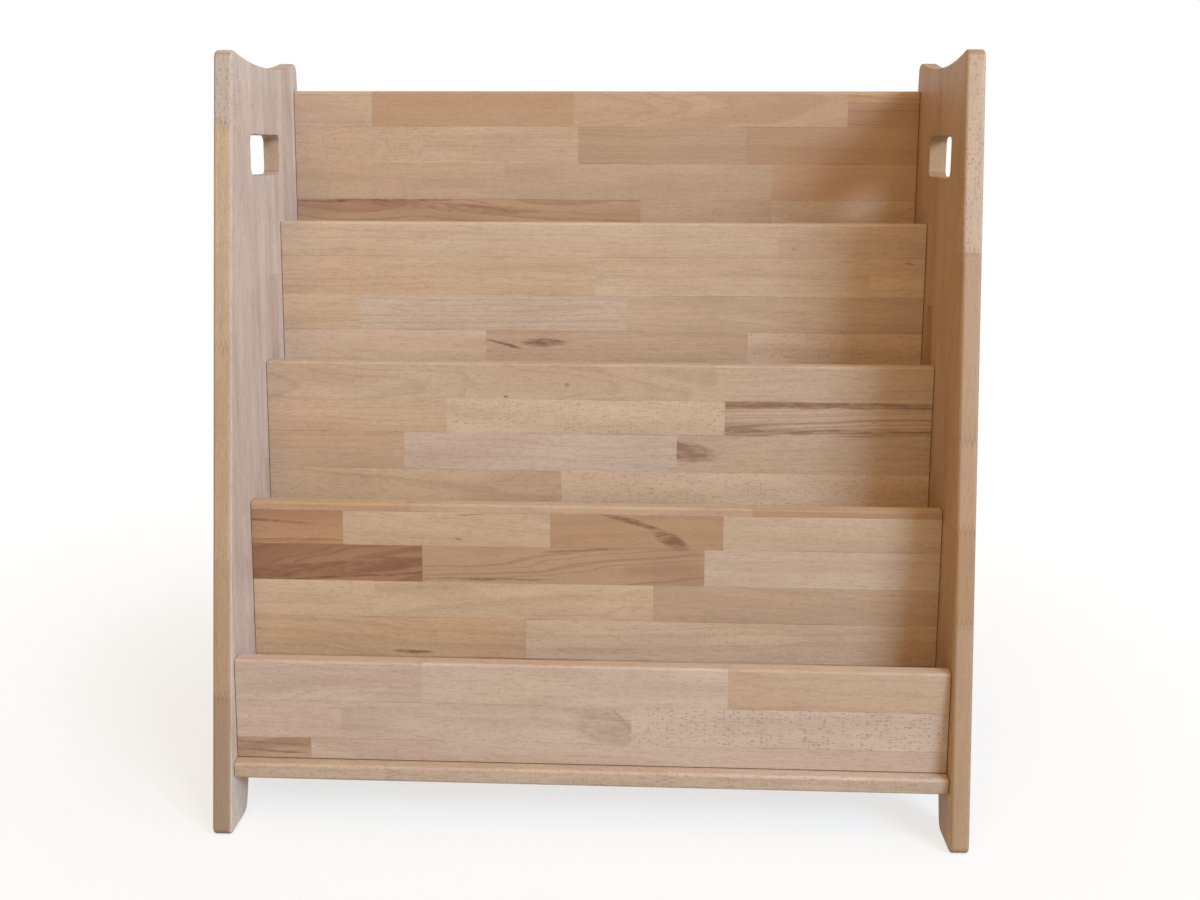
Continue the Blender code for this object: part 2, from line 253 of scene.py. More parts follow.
    # Wispy fibres, drawn 1 to 2 mm apart where real pores are finer, clouds of tone a few
    # centimetres long, and slow drifts from pinkish to yellowish wood
    fibre_place = waves(tree, place, 75.0, 520.0)
    fibre = add(tree, "TexNoise", {"Vector": fibre_place, "Scale": 1.0, "Detail": 2.0,
                                   "Distortion": 0.6})["Fac"]
    grit_place = waves(tree, place, 210.0, 880.0)
    grit = add(tree, "TexNoise", {"Vector": grit_place, "Scale": 1.0, "Detail": 1.0})["Fac"]
    cloud_place = waves(tree, place, 10.0, 55.0)
    cloud = add(tree, "TexNoise", {"Vector": cloud_place, "W": seed, "Scale": 1.0, "Detail": 4.0},
                noise_dimensions="4D")["Fac"]
    drift_place = waves(tree, place, 8.0, 22.0)
    warmth = add(tree, "TexNoise", {"Vector": drift_place, "W": seed, "Scale": 1.0, "Detail": 1.5},
                 noise_dimensions="4D")["Fac"]

    # Glue lines: broken hairlines along the staves, and finger joints on the board's edges
    normal = add(tree, "NewGeometry")["Normal"]
    on_end = add(tree, "VectorMath", {0: normal, 1: grain[0]}, operation="DOT_PRODUCT")["Value"]
    on_end = maths(tree, "ABSOLUTE", on_end)
    on_end = add(tree, "MapRange", {"Value": on_end, 1: 0.15, 2: 0.60})[0]
    on_edge = add(tree, "VectorMath", {0: normal, 1: grain[1]}, operation="DOT_PRODUCT")["Value"]
    # Painted shade: faces that look down, at a board's lower edge, are marked for the shadow in the
    # joint below them
    painted_foot_shade = add(tree, "MapRange", {"Value": on_edge, 1: -0.15, 2: -0.60})[0]
    on_edge = maths(tree, "ABSOLUTE", on_edge)
    on_edge = add(tree, "MapRange", {"Value": on_edge, 1: 0.6, 2: 0.8})[0]
    to_start = maths(tree, "SUBTRACT", along, start_along)
    to_end = maths(tree, "SUBTRACT", along, end_along)
    finger = maths(tree, "PINGPONG", through, FINGER_WIDTH)
    finger = add(tree, "MapRange", {"Value": finger, 2: FINGER_WIDTH, 3: -FINGER_LENGTH / 2,
                                    4: FINGER_LENGTH / 2})[0]
    first_joint = maths(tree, "SUBTRACT", to_start, finger)
    first_joint = maths(tree, "ABSOLUTE", first_joint)
    last_joint = maths(tree, "SUBTRACT", to_end, finger)
    last_joint = maths(tree, "ABSOLUTE", last_joint)
    joint = maths(tree, "MINIMUM", first_joint, last_joint)
    joint = add(tree, "MapRange", {"Value": joint, 1: 3.0 * MM, 2: 0.8 * MM, 4: 0.55})[0]
    joint = maths(tree, "MULTIPLY", joint, on_edge)
    to_low = maths(tree, "SUBTRACT", across, start_across)
    to_high = maths(tree, "SUBTRACT", end_across, across)
    glue = maths(tree, "MINIMUM", to_low, to_high)
    glue = add(tree, "MapRange", {"Value": glue, 1: 0.7 * MM, 2: 0.1 * MM})[0]
    broken = add(tree, "MapRange", {"Value": cloud, 1: 0.45, 2: 0.65})[0]
    glue = maths(tree, "MULTIPLY", glue, broken)
    off_edge = maths(tree, "SUBTRACT", 1.0, on_edge)
    glue = maths(tree, "MULTIPLY", glue, off_edge)
    lines = maths(tree, "MAXIMUM", glue, joint)

    # Colour, from the stave's own tone to the darkest line. A layer is a pattern, the values
    # where it starts and where it is full, its tint, and how much of the tint it then gives
    layers = (
        (warmth, (0.35, 0.65), "BF9E7C", 0.16),
        (warmth, (0.65, 0.35), "C09C8C", 0.14),
        (cloud, (0.40, 0.72), "8F6E58", 0.22),
        (bands, (0.42, 0.72), "A27A58", 0.34),
        (fibre, (0.48, 0.76), "86664E", 0.30),
        (grit, (0.50, 0.80), "7A5A42", 0.24),
        (late, (0.0, 2.0), "6B3E1C", 0.52),
        (heart, (0.0, 1.0), "7D5238", 0.55),
        (marked, (0.0, 1.0), "6A4026", 0.80),
        (fleck, (0.0, 1.0), "76503A", 0.62),
        (lines, (0.0, 1.0), "6B4630", 0.60),
        # Painted shade: dark brown on end grain and on lower edges, for the shadow in their joints
        (on_end, (0.0, 1.0), "4A2C18", ends),
        (painted_foot_shade, (0.0, 1.0), "4A2C18", feet),
    )
    colour = tone
    for pattern, (nothing, full), tint, most in layers:
        share = add(tree, "MapRange", {"Value": pattern, 1: nothing, 2: full, 4: most})[0]
        colour = add(tree, "Mix", {0: share, 6: colour, 7: linear(tint)}, data_type="RGBA")[2]
    tree.links.new(colour, shader.inputs["Base Color"])

    # Oiled fibres shine a little unevenly, end grain hardly at all
    rough = add(tree, "MapRange", {"Value": cloud, 1: 0.3, 2: 0.7, 3: 0.48, 4: 0.60})[0]
    rough = maths(tree, "MULTIPLY_ADD", on_end, 0.14, rough)
    tree.links.new(rough, shader.inputs["Roughness"])
    relief = maths(tree, "ADD", late, fleck)
    relief = maths(tree, "MULTIPLY_ADD", relief, -0.4, fibre)
    relief = maths(tree, "MULTIPLY_ADD", lines, -1.5, relief)
    bump = add(tree, "Bump", {"Strength": 0.5, "Distance": 0.08 * MM, "Height": relief})[0]
    tree.links.new(bump, shader.inputs["Normal"])
    return material


def pick(piece):
    """Makes the piece the active one and the only one selected."""
    bpy.ops.object.select_all(action="DESELECT")
    bpy.context.view_layer.objects.active = piece
    piece.select_set(True)


def choose(piece, kind, test):
    """Opens the piece in edit mode with only the faces or edges selected that pass the test."""
    pick(piece)
    mesh = piece.data
    for group in (mesh.vertices, mesh.edges, mesh.polygons):
        group.foreach_set("select", [False] * len(group))
    bpy.context.tool_settings.mesh_select_mode = (False, kind == "EDGE", kind == "FACE")
    if kind == "FACE":
        for face in mesh.polygons:
            face.select = test(face)
    else:
        for edge in mesh.edges:
            first, second = (mesh.vertices[corner].co for corner in edge.vertices)
            edge.select = test(first, second)
    bpy.ops.object.mode_set(mode="EDIT")


def round_over(piece, radius, turn, segments, test):
    """Rounds the edges that pass the test to a radius. Their faces turn by that angle there."""
    choose(piece, "EDGE", test)
    bpy.ops.mesh.bevel(offset=radius * tan(turn / 2), segments=segments, affect="EDGES")
    bpy.ops.object.mode_set(mode="OBJECT")


def round_rims(piece, radius, segments, inside=lambda place: True):
    """Rounds the edges where faces across the piece meet one of its two flat sides at X."""
    sides = {}
    for face in piece.data.polygons:
        for key in face.edge_keys:
            sides.setdefault(key, []).append(abs(face.normal.x))
    rims = {key for key, steep in sides.items() if max(steep) > 0.9 and min(steep) < 0.1}
    ends = {tuple(sorted(tuple(piece.data.vertices[corner].co) for corner in key)) for key in rims}

    def test(first, second):
        return tuple(sorted((tuple(first), tuple(second)))) in ends and inside((first + second) / 2)
    round_over(piece, radius, pi / 2, segments, test)


def settled(name):
    """The shape just added, named, with its place, turn and size put into its mesh."""
    shape = bpy.context.object
    shape.name = name
    bpy.ops.object.transform_apply(location=True, rotation=True, scale=True)
    return shape


def new_block(name, low, high):
    """A squared block of timber between two corners, the start of every board."""
    bpy.ops.mesh.primitive_cube_add(size=1, location=(low + high) / 2, scale=high - low)
    return settled(name)


def same_line(y, z):
    """A test for the edges that run along X at this place."""
    def test(first, second):
        return all(abs(end.y - y) < NEAR and abs(end.z - z) < NEAR for end in (first, second))
    return test


def push_edge(piece, y, z, run):
    """Moves the edge that runs along X at this place backwards by a run."""
    choose(piece, "EDGE", same_line(y, z))
    bpy.ops.transform.translate(value=(0, run, 0))
    bpy.ops.object.mode_set(mode="OBJECT")


def new_bar(name, low, high, lean_front, lean_back, radii):
    """A board from low to high. Its front and back faces lean back by these runs from bottom
    to top. The radii are for its arrises at the bottom front, bottom back, top back and
    top front."""
    bar = new_block(name, low, high)
    push_edge(bar, low.y, high.z, lean_front)
    push_edge(bar, high.y, high.z, lean_back)
    front_turn = pi / 2 + atan2(lean_front, high.z - low.z)
    back_turn = pi / 2 - atan2(lean_back, high.z - low.z)
    arrises = (
        (low.y, low.z, front_turn),
        (high.y, low.z, back_turn),
        (high.y + lean_back, high.z, pi - back_turn),
        (low.y + lean_front, high.z, pi - front_turn),
    )
    for (y, z, turn), radius in zip(arrises, radii):
        round_over(bar, radius, turn, segments=5, test=same_line(y, z))
    round_rims(bar, END_ARRIS, segments=2)
    return bar


def take_away(piece, cutter):
    """Cuts one shape out of another."""
    pick(piece)
    cut = piece.modifiers.new("cut", "BOOLEAN")
    cut.operation = "DIFFERENCE"
    cut.solver = "EXACT"
    cut.object = cutter
    bpy.ops.object.modifier_apply(modifier=cut.name)
    bpy.data.objects.remove(cutter)


def extrude(piece, run, test):
    """Extrudes the faces that pass the test along X."""
    choose(piece, "FACE", test)
    bpy.ops.mesh.extrude_region_move(TRANSFORM_OT_translate={"value": (run, 0, 0)})
    bpy.ops.object.mode_set(mode="OBJECT")


def new_cone(name, head_radius, neck_radius):
    """The countersunk part of a screw or of its hole, from its head at the origin along X."""
    bpy.ops.mesh.primitive_cone_add(
        vertices=SCREW_SIDES, radius1=head_radius, radius2=neck_radius, depth=SCREW_HEAD_HEIGHT,
        rotation=(0, pi / 2, 0), location=(SCREW_HEAD_HEIGHT / 2, 0, 0))
    return settled(name)


def screw_place(node):
    """Where a screw has its head, and which way it points."""
    low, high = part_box(node)
    middle = (low + high) / 2
    if node.startswith("screw_left_"):
        return Matrix.Translation((low.x, middle.y, middle.z))
    if node.startswith("screw_right_"):
        return Matrix.Translation((high.x, middle.y, middle.z)) @ Matrix.Rotation(pi, 4, "Z")
    return Matrix.Translation((middle.x, middle.y, low.z)) @ Matrix.Rotation(-pi / 2, 4, "Y")


def copy_of(piece, name, turn):
    """A copy with a mesh of its own, turned and moved within its mesh."""
    copy = piece.copy()
    copy.data = piece.data.copy()
    copy.name = name
    copy.data.transform(turn)
    bpy.context.collection.objects.link(copy)
    return copy


screw_nodes = [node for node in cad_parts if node.startswith("screw_")]
hole = new_cone("hole", SCREW_HEAD_RADIUS + SCREW_CLEARANCE, SCREW_NECK_RADIUS + SCREW_CLEARANCE)
extrude(hole, SCREW_LENGTH - SCREW_HEAD_HEIGHT + SCREW_CLEARANCE, lambda face: face.normal.x > 0.9)
extrude(hole, -HOLE_LEAD, lambda face: face.normal.x < -0.9)


def drill(piece):
    """Drills and countersinks the holes of all the screws that enter the piece."""
    places = [vertex.co for vertex in piece.data.vertices]
    low = [min(place[axis] for place in places) for axis in range(3)]
    high = [max(place[axis] for place in places) for axis in range(3)]
    holes = []
    for node in screw_nodes:
        screw_low, screw_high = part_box(node)
        if all(screw_low[axis] < high[axis] and screw_high[axis] > low[axis] for axis in range(3)):
            holes.append(copy_of(hole, "hole_for_" + node, screw_place(node)))
    bpy.ops.object.select_all(action="DESELECT")
    for cutter in holes:
        cutter.select_set(True)
    bpy.context.view_layer.objects.active = holes[0]
    bpy.ops.object.join()
    take_away(piece, holes[0])


def random_stave(draw):
    """An unseen or unremarkable stave: mostly pale, seldom with brown heartwood."""
    tone = draw.choice(("milk", "rose", "cream", "pale", "linen", "straw", "sand", "tan", "honey"))
    figure = draw.choice(("quarter", "rift", "rift", "cathedral", "flecked", "streaked"))
    return tone, figure


# Middle along and across, half length, half width, slope across the grain, strength
NO_STROKE = (9.0, 9.0, 0.001, 0.001, 0.0, 0.0)


def plan_staves(low, high, rows, seed):
    """Staves of a board that spans low to high along and across its grain. Each row, counted
    from the high side, is a width and its staves: where each ends along the row, its tone
    (or its tones on the flat and on the edge), its figure and up to two brown strokes. Rows
    that are not given are drawn at random."""
    draw = random.Random(seed)
    staves = []
    edge = high[1]
    rows = list(rows)
    while edge > low[1] + NEAR / 2:
        width, given = rows.pop(0) if rows else (STAVE_WIDTH, None)
        bottom = edge - width
        if bottom < low[1] + NARROWEST_STAVE:
            bottom = low[1]
        if given is None:
            given = []
            at = -draw.uniform(0, STAVE_LENGTHS[0])
            while at < high[0] - low[0]:
                at += draw.uniform(*STAVE_LENGTHS)
                given.append((at, *random_stave(draw)))
        begin = low[0] - STAVE_CUT_AWAY
        for number, (length, tone, figure, *strokes) in enumerate(given):
            last = number == len(given) - 1
            finish = high[0] + STAVE_CUT_AWAY if last else low[0] + length
            staves.append({
                "start": (begin, bottom), "end": (finish, edge), "tone": tone, "figure": figure,
                "strokes": (strokes + [NO_STROKE] * 2)[:2],
                "draw": random.Random(f"{seed} {len(staves)}"),
            })
            begin = finish
        edge = bottom
    return staves


def cut_staves(piece, grain, staves):
    """Cuts the faces along glue lines and finger joints, and writes each stave's look on them."""
    to_world = grain.transposed()
    for bottom in sorted({stave["start"][1] for stave in staves})[1:]:
        choose(piece, "FACE", lambda face: True)
        bpy.ops.mesh.bisect(plane_co=to_world @ Vector((0, bottom, 0)), plane_no=grain[1])
        bpy.ops.object.mode_set(mode="OBJECT")
    for stave in staves:
        bottom, top = stave["start"][1], stave["end"][1]
        choose(piece, "FACE", lambda face: bottom < (grain @ face.center).y < top)
        bpy.ops.mesh.bisect(plane_co=to_world @ Vector((stave["start"][0], 0, 0)), plane_no=grain[0])
        bpy.ops.object.mode_set(mode="OBJECT")
    looks = {name: [] for name in ("tone", "log", "figure", "stroke_a", "shape_a", "stroke_b",
                                   "shape_b", "start", "end", "seed")}
    written = []
    for stave in staves:
        draw = stave["draw"]
        behind_across, behind, taper, rings, flecks, heart = BEECH_FIGURES[stave["figure"]]
        middle = [(first + last) / 2 for first, last in zip(stave["start"], stave["end"])]
        shade = draw.uniform(0.98, 1.02)
        warm = draw.uniform(0.99, 1.01)
        taper *= draw.choice((-1, 1)) * draw.uniform(0.7, 1.3)
        log_across = middle[1] + behind_across * draw.choice((-1, 1)) * draw.uniform(0.7, 1.3)
        log_through = -behind * draw.uniform(0.8, 1.3) - taper * middle[0]
        tones = []
        for name in stave["tone"].split("/"):
            red, green, blue, _ = linear(BEECH_TONES[name])
            tones.append((red * shade * warm, green * shade, blue * shade / warm))
        written.append({
            "tone": tones,
            "log": (log_across, log_through, taper),
            "figure": (rings, flecks, heart),
            "stroke_a": stave["strokes"][0][:3],
            "shape_a": stave["strokes"][0][3:],
            "stroke_b": stave["strokes"][1][:3],
            "shape_b": stave["strokes"][1][3:],
            "start": (*stave["start"], 0.0),
            "end": (*stave["end"], 0.0),
            "seed": draw.uniform(0, 50),
        })
    for face in piece.data.polygons:
        along, across, _ = grain @ face.center
        misses = [max(stave["start"][0] - along, along - stave["end"][0],
                      stave["start"][1] - across, across - stave["end"][1], 0) for stave in staves]
        found = misses.index(min(misses))
        on_edge = abs(face.normal.dot(grain[1])) > 0.7
        for name, values in looks.items():
            value = written[found][name]
            values.append(value[-1 if on_edge else 0] if name == "tone" else value)
    for name, values in looks.items():
        single = name == "seed"
        layer = piece.data.attributes.new(name, "FLOAT" if single else "FLOAT_VECTOR", "FACE")
        flat = values if single else [number for value in values for number in value]
        layer.data.foreach_set("value" if single else "vector", flat)


def dress(piece, material, *nodes):
    """Gives a finished piece its shading, its material and its place in the frame."""
    pick(piece)
    bpy.ops.object.shade_smooth_by_angle(angle=SMOOTH_BELOW)
    flats = piece.modifiers.new("flat faces", "WEIGHTED_NORMAL")
    flats.keep_sharp = True
    bpy.ops.object.modifier_apply(modifier=flats.name)
    piece.data.materials.clear()
    piece.data.materials.append(material)
    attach(piece, "root")
    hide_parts(*nodes)


def axes(along, across):
    """Grain directions as the rows of a matrix."""
    return Matrix((along, across, along.cross(across)))


level_grain = axes(Vector((1, 0, 0)), Vector((0, 1, 0)))
level_beech = oiled_beech("oiled_beech_level", level_grain, 0.9, 0.0)

BASE_ROWS = (
    (36 * MM, None),
    (34 * MM, None),
    (34 * MM, ((169 * MM, "pale", "flecked"), (465 * MM, "cream", "flecked"),
               (750 * MM, "milk", "flecked"), (0, "cream", "rift"))),
)

base_low, base_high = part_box("base_shelf")
base_shelf = new_bar("base_shelf_beech", base_low, base_high, 0, 0,
                     (BOARD_ARRIS, HIDDEN_ARRIS, HIDDEN_ARRIS, BOARD_ARRIS))
drill(base_shelf)
cut_staves(base_shelf, level_grain, plan_staves(base_low, base_high, BASE_ROWS, "base shelf"))
dress(base_shelf, level_beech, "base_shelf")

# Pocket floors: three narrow level boards behind the leaning boards. Each is the floor of a
# pocket for books and carries the next board, screwed from below. Same beech board.

BOARD_LEAN = radians(5)
lean_run = tan(BOARD_LEAN)


def arris_setback(radius):
    """How far a rounded arris lies inside the corner of a leaning board's section."""
    return radius * (lean_run + 1 / cos(BOARD_LEAN) - 1)


for tier in (2, 3, 4):
    node = f"pocket_floor_{tier}"
    floor_low, floor_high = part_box(node)
    floor_low.y -= arris_setback(HIDDEN_ARRIS)
    floor = new_bar(node + "_beech", floor_low, floor_high, BOARD_THICKNESS * lean_run, 0,
                    (HIDDEN_ARRIS,) * 4)
    drill(floor)
    cut_staves(floor, level_grain, plan_staves(floor_low, floor_high, (), node))
    dress(floor, level_beech, node)

# Front rail and leaning boards: five boards that lean back by 5 degrees, each further back
# and higher than the one in front. Their staves lie level. They are set out here after the
# real boards, row by row from the top: where each stave ends, its tone and its figure. The
# tones carry painted light: the tone after a slash, on a board's top face, is paler for the
# light from above; the lower rows, in the shade of the board in front, are painted paler;
# and staves at the right ends, in the shade of the right panel, are painted paler on the
# fourth board and warmer on the fifth.

leaning_grain = axes(Vector((1, 0, 0)), Vector((0, sin(BOARD_LEAN), cos(BOARD_LEAN))))
leaning_beech = oiled_beech("oiled_beech_leaning", leaning_grain, 0.9, 0.85)

# In millimetres. A stave that ends at 0 runs to the end of the board. A stroke's middle is
# measured from the left and from the top of the board
BOARD_STAVES = {
    "front_rail": (
        (44, ((202, "rose", "rift"), (527, "milk", "quarter"), (0, "sand", "rift"))),
        (42, ((114, "rose", "quarter"),
              (426, "rose", "rift", (400, 68, 40, 20, 0.2, 0.35), (417, 60, 14, 4, 1.2, 0.5)),
              (0, "milk", "speckled"))),
        (24, ((81, "sand", "streaked", (34, 93, 44, 1.8, 0.03, 0.7), (30, 101, 50, 1.6, 0.05, 0.6)),
              (0, "rose", "quarter"))),
    ),
    "tier_board_2": (
        (9, ((179, "tawny/honey", "rift"), (554, "tan/pale", "rift"), (0, "russet", "rift"))),
        (38, ((103, "amber", "streaked", (20, 21, 60, 2.0, 0.04, 0.8), (50, 42, 60, 2.2, 0.0, 0.6)),
              (333, "straw", "rift", (244, 11, 18, 0.8, 0.0, 1.0), (231, 39, 5, 1.2, 0.1, 0.9)),
              (523, "russet", "rift", (420, 16, 42, 4, 0.27, 1.0), (466, 37, 22, 9, 0.45, 1.0)),
              (0, "pale", "quarter"))),
        (41, ((191, "umber", "heart", (96, 74, 220, 9, -0.08, 0.6), (96, 84, 260, 1.8, -0.075, 1.0)),
              (503, "bronze", "streaked", (262, 84, 80, 1.4, 0.0, 0.8), (378, 49, 60, 1.6, -0.06, 0.8)),
              (0, "cream", "quarter"))),
        (41, ((137, "linen", "quarter"), (447, "linen", "rift"), (0, "tan", "rift"))),
        (45, ((306, "apricot", "rift", (178, 169, 26, 2.2, 0.0, 0.9)), (0, "oat", "rift"))),
    ),
    "tier_board_3": (
        (41, ((516, "pale/milk", "cathedral", (346, 24, 4, 1.8, 0.0, 1.0), (276, 39, 3, 1.6, 0.0, 1.0)),
              (0, "sand/pale", "rift"))),
        (39, ((208, "straw", "rift"), (526, "snow", "flecked"),
              (0, "sand", "heart", (650, 45, 300, 4, 0.0, 0.8), (650, 75, 300, 3, 0.0, 0.7)))),
        (43, ((158, "straw", "rift"), (472, "milk", "rift"),
              (0, "sand", "rift", (470, 98, 52, 13, 0.12, 0.85)))),
        (43, ((340, "linen", "cathedral"), (0, "oat", "flecked"))),
    ),
    "tier_board_4": (
        (40, ((589, "pale/milk", "rift"), (0, "sand/pale", "rift", (606, 28, 2, 1.6, 0.0, 1.0)))),
        (45, ((374, "straw", "rift"), (696, "pale", "rift"),
              (0, "linen", "rift", (741, 45, 6, 1.6, 0.2, 0.9)))),
        (42, ((93, "linen", "rift"), (412, "cream", "cathedral"), (0, "sand", "rift"))),
        (42, ((244, "oat", "quarter"),
              (555, "straw", "rift", (266, 143, 26, 2.2, 0.28, 1.0), (314, 141, 30, 6, 0.0, 1.0)),
              (0, "oat", "flecked"))),
    ),
    "tier_board_5": (
        (42, ((96, "sand", "rift"), (343, "bronze", "quarter"), (674, "honey", "cathedral"),
              (0, "copper", "streaked"))),
        (44, ((158, "sand", "flecked"), (349, "sand", "rift"), (553, "fawn", "rift"),
              (0, "russet", "rift"))),
        (43, ((259, "tan", "quarter"), (585, "tan", "quarter"), (0, "tawny", "quarter"))),
        (43, ((426, "tawny", "streaked", (90, 131, 120, 2.0, -0.01, 1.0), (200, 139, 130, 5, 0.05, 0.5)),
              (586, "sand", "rift"), (0, "straw", "cathedral"))),
    ),
}


def seen_rows(rows, left, top):
    """The rows as set out above in metres, with their strokes at their place along and across."""
    found = []
    for width, staves in rows:
        row = []
        for end, tone, figure, *strokes in staves:
            placed = [(left + u * MM, top - v * MM, length * MM, thick * MM, slope, strength)
                      for u, v, length, thick, slope, strength in strokes]
            row.append((end * MM, tone, figure, *placed))
        found.append((width * MM, row))
    return found


section_run = BOARD_THICKNESS / cos(BOARD_LEAN)
for node, rows in BOARD_STAVES.items():
    board_low, board_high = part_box(node)
    front = board_low.y - arris_setback(HIDDEN_ARRIS)
    run = (board_high.z - board_low.z) * lean_run
    low = Vector((board_low.x, front, board_low.z))
    high = Vector((board_high.x, front + section_run, board_high.z))
    board = new_bar(node + "_beech", low, high, run, run,
                    (HIDDEN_ARRIS, HIDDEN_ARRIS, BOARD_ARRIS, BOARD_ARRIS))
    drill(board)
    top = leaning_grain @ Vector((high.x, front + run, high.z))
    foot = leaning_grain @ low
    rows = seen_rows(rows, low.x, top.y)
    cut_staves(board, leaning_grain, plan_staves(foot, top, rows, node))
    dress(board, leaning_beech, node)

# Side panels: two 20 mm beech panels whose staves lean back like the boards. The outline has
# a sloped front edge, a shallow swoop between two rounded peaks and an arch between the
# feet. Outline and hand slot are cut with a router and rounded over like the boards.

PANEL_ARRIS = 3.5 * MM
PANEL_HEIGHT = 818 * MM
PANEL_DEPTH = 410.6 * MM
FRONT_TOP_SETBACK = 170 * MM
SWOOP_SAG = 13.5 * MM
PEAK_RADIUS = 10 * MM
TOE_RADIUS = 9 * MM
HEEL_RADIUS = 8 * MM
FRONT_FOOT = 58 * MM
REAR_FOOT = 62 * MM
ARCH_HEIGHT = 51.5 * MM
ARCH_RADIUS = 18 * MM
ARCH_SLANT = radians(20)
SLOT_LENGTH = 109 * MM
SLOT_HEIGHT = 44 * MM
SLOT_RADIUS = 9 * MM
SLOT_ARRIS = 1.5 * MM
SLOT_TOP_WALL = 88 * MM
SLOT_MIDDLE = 265.8 * MM
SWOOP_SIDES = 139
PAST = 10 * MM

panel_low, panel_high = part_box("side_panel_left")
front_slope = atan2(FRONT_TOP_SETBACK, PANEL_HEIGHT)
rear_y = panel_high.y
front_y = rear_y - PANEL_DEPTH
cut_left = panel_low.x - PAST
cut_right = panel_high.x + PAST


def along_x(name, low_y, high_y, low_z, high_z):
    """A cutter that goes right through the left panel."""
    return new_block(name, Vector((cut_left, low_y, low_z)), Vector((cut_right, high_y, high_z)))


side_panel = new_block("side_panel_left_beech", Vector((panel_low.x, front_y, 0)),
                       Vector((panel_high.x, rear_y, PANEL_HEIGHT + PAST)))
choose(side_panel, "FACE", lambda face: True)
bpy.ops.mesh.bisect(plane_co=(0, front_y, 0), plane_no=(0, -cos(front_slope), sin(front_slope)),
                    use_fill=True, clear_outer=True)
bpy.ops.object.mode_set(mode="OBJECT")

half_chord = (PANEL_DEPTH - FRONT_TOP_SETBACK) / 2
swoop_radius = (half_chord ** 2 + SWOOP_SAG ** 2) / (2 * SWOOP_SAG)
swoop_middle = rear_y - half_chord
bpy.ops.mesh.primitive_cylinder_add(
    vertices=SWOOP_SIDES, radius=swoop_radius, depth=cut_right - cut_left,
    rotation=(-pi / 2, 0, pi / 2),
    location=((cut_left + cut_right) / 2, swoop_middle, PANEL_HEIGHT - SWOOP_SAG + swoop_radius))
take_away(side_panel, settled("swoop"))

arch_front = front_y + FRONT_FOOT
arch_rear = rear_y - REAR_FOOT
arch_flare = tan(ARCH_SLANT)
mouth_front = arch_front - PAST * arch_flare
mouth_rear = arch_rear + PAST * arch_flare
arch = along_x("arch", mouth_front, mouth_rear, -PAST, ARCH_HEIGHT)
push_edge(arch, mouth_front, ARCH_HEIGHT, (ARCH_HEIGHT + PAST) * arch_flare)
push_edge(arch, mouth_rear, ARCH_HEIGHT, -(ARCH_HEIGHT + PAST) * arch_flare)
for y in (arch_front + ARCH_HEIGHT * arch_flare, arch_rear - ARCH_HEIGHT * arch_flare):
    round_over(arch, ARCH_RADIUS, pi / 2 - ARCH_SLANT, segments=12, test=same_line(y, ARCH_HEIGHT))
take_away(side_panel, arch)

slot_high = PANEL_HEIGHT - SLOT_TOP_WALL
slot_low = slot_high - SLOT_HEIGHT
slot_shift = SLOT_HEIGHT * lean_run
slot_front = front_y + SLOT_MIDDLE - (SLOT_LENGTH + slot_shift) / 2
slot_rear = slot_front + SLOT_LENGTH
slot = along_x("slot", slot_front, slot_rear, slot_low, slot_high)
for y in (slot_front, slot_rear):
    push_edge(slot, y, slot_high, slot_shift)
for y, turn in ((slot_front, pi / 2 + BOARD_LEAN), (slot_rear, pi / 2 - BOARD_LEAN)):
    above = same_line(y + slot_shift, slot_high)
    round_over(slot, SLOT_RADIUS, turn, segments=10, test=same_line(y, slot_low))
    round_over(slot, SLOT_RADIUS, pi - turn, segments=10, test=above)
take_away(side_panel, slot)

swoop_turn = asin(half_chord / swoop_radius)
corners = (
    (front_y, 0, TOE_RADIUS, pi / 2 + front_slope),
    (rear_y, 0, TOE_RADIUS, pi / 2),
    (arch_front, 0, HEEL_RADIUS, pi / 2 + ARCH_SLANT),
    (arch_rear, 0, HEEL_RADIUS, pi / 2 + ARCH_SLANT),
    (rear_y, PANEL_HEIGHT, PEAK_RADIUS, pi / 2 + swoop_turn),
    (front_y + FRONT_TOP_SETBACK, PANEL_HEIGHT, PEAK_RADIUS, pi / 2 - front_slope + swoop_turn),
)
for y, z, radius, turn in corners:
    round_over(side_panel, radius, turn, segments=8, test=same_line(y, z))


def in_slot(place):
    """A test for the places on the rims of the hand slot."""
    return (slot_front - MM < place.y < slot_rear + PAST
            and slot_low - MM < place.z < slot_high + MM)


round_rims(side_panel, SLOT_ARRIS, segments=3, inside=in_slot)
round_rims(side_panel, PANEL_ARRIS, segments=5)

other_panel = copy_of(side_panel, "side_panel_right_beech", Matrix.Scale(-1, 4, Vector((1, 0, 0))))
other_panel.data.flip_normals()

upright_grain = axes(Vector((0, sin(BOARD_LEAN), cos(BOARD_LEAN))),
                     Vector((0, cos(BOARD_LEAN), -sin(BOARD_LEAN))))
upright_beech = oiled_beech("oiled_beech_upright", upright_grain, 0.3, 0.0)

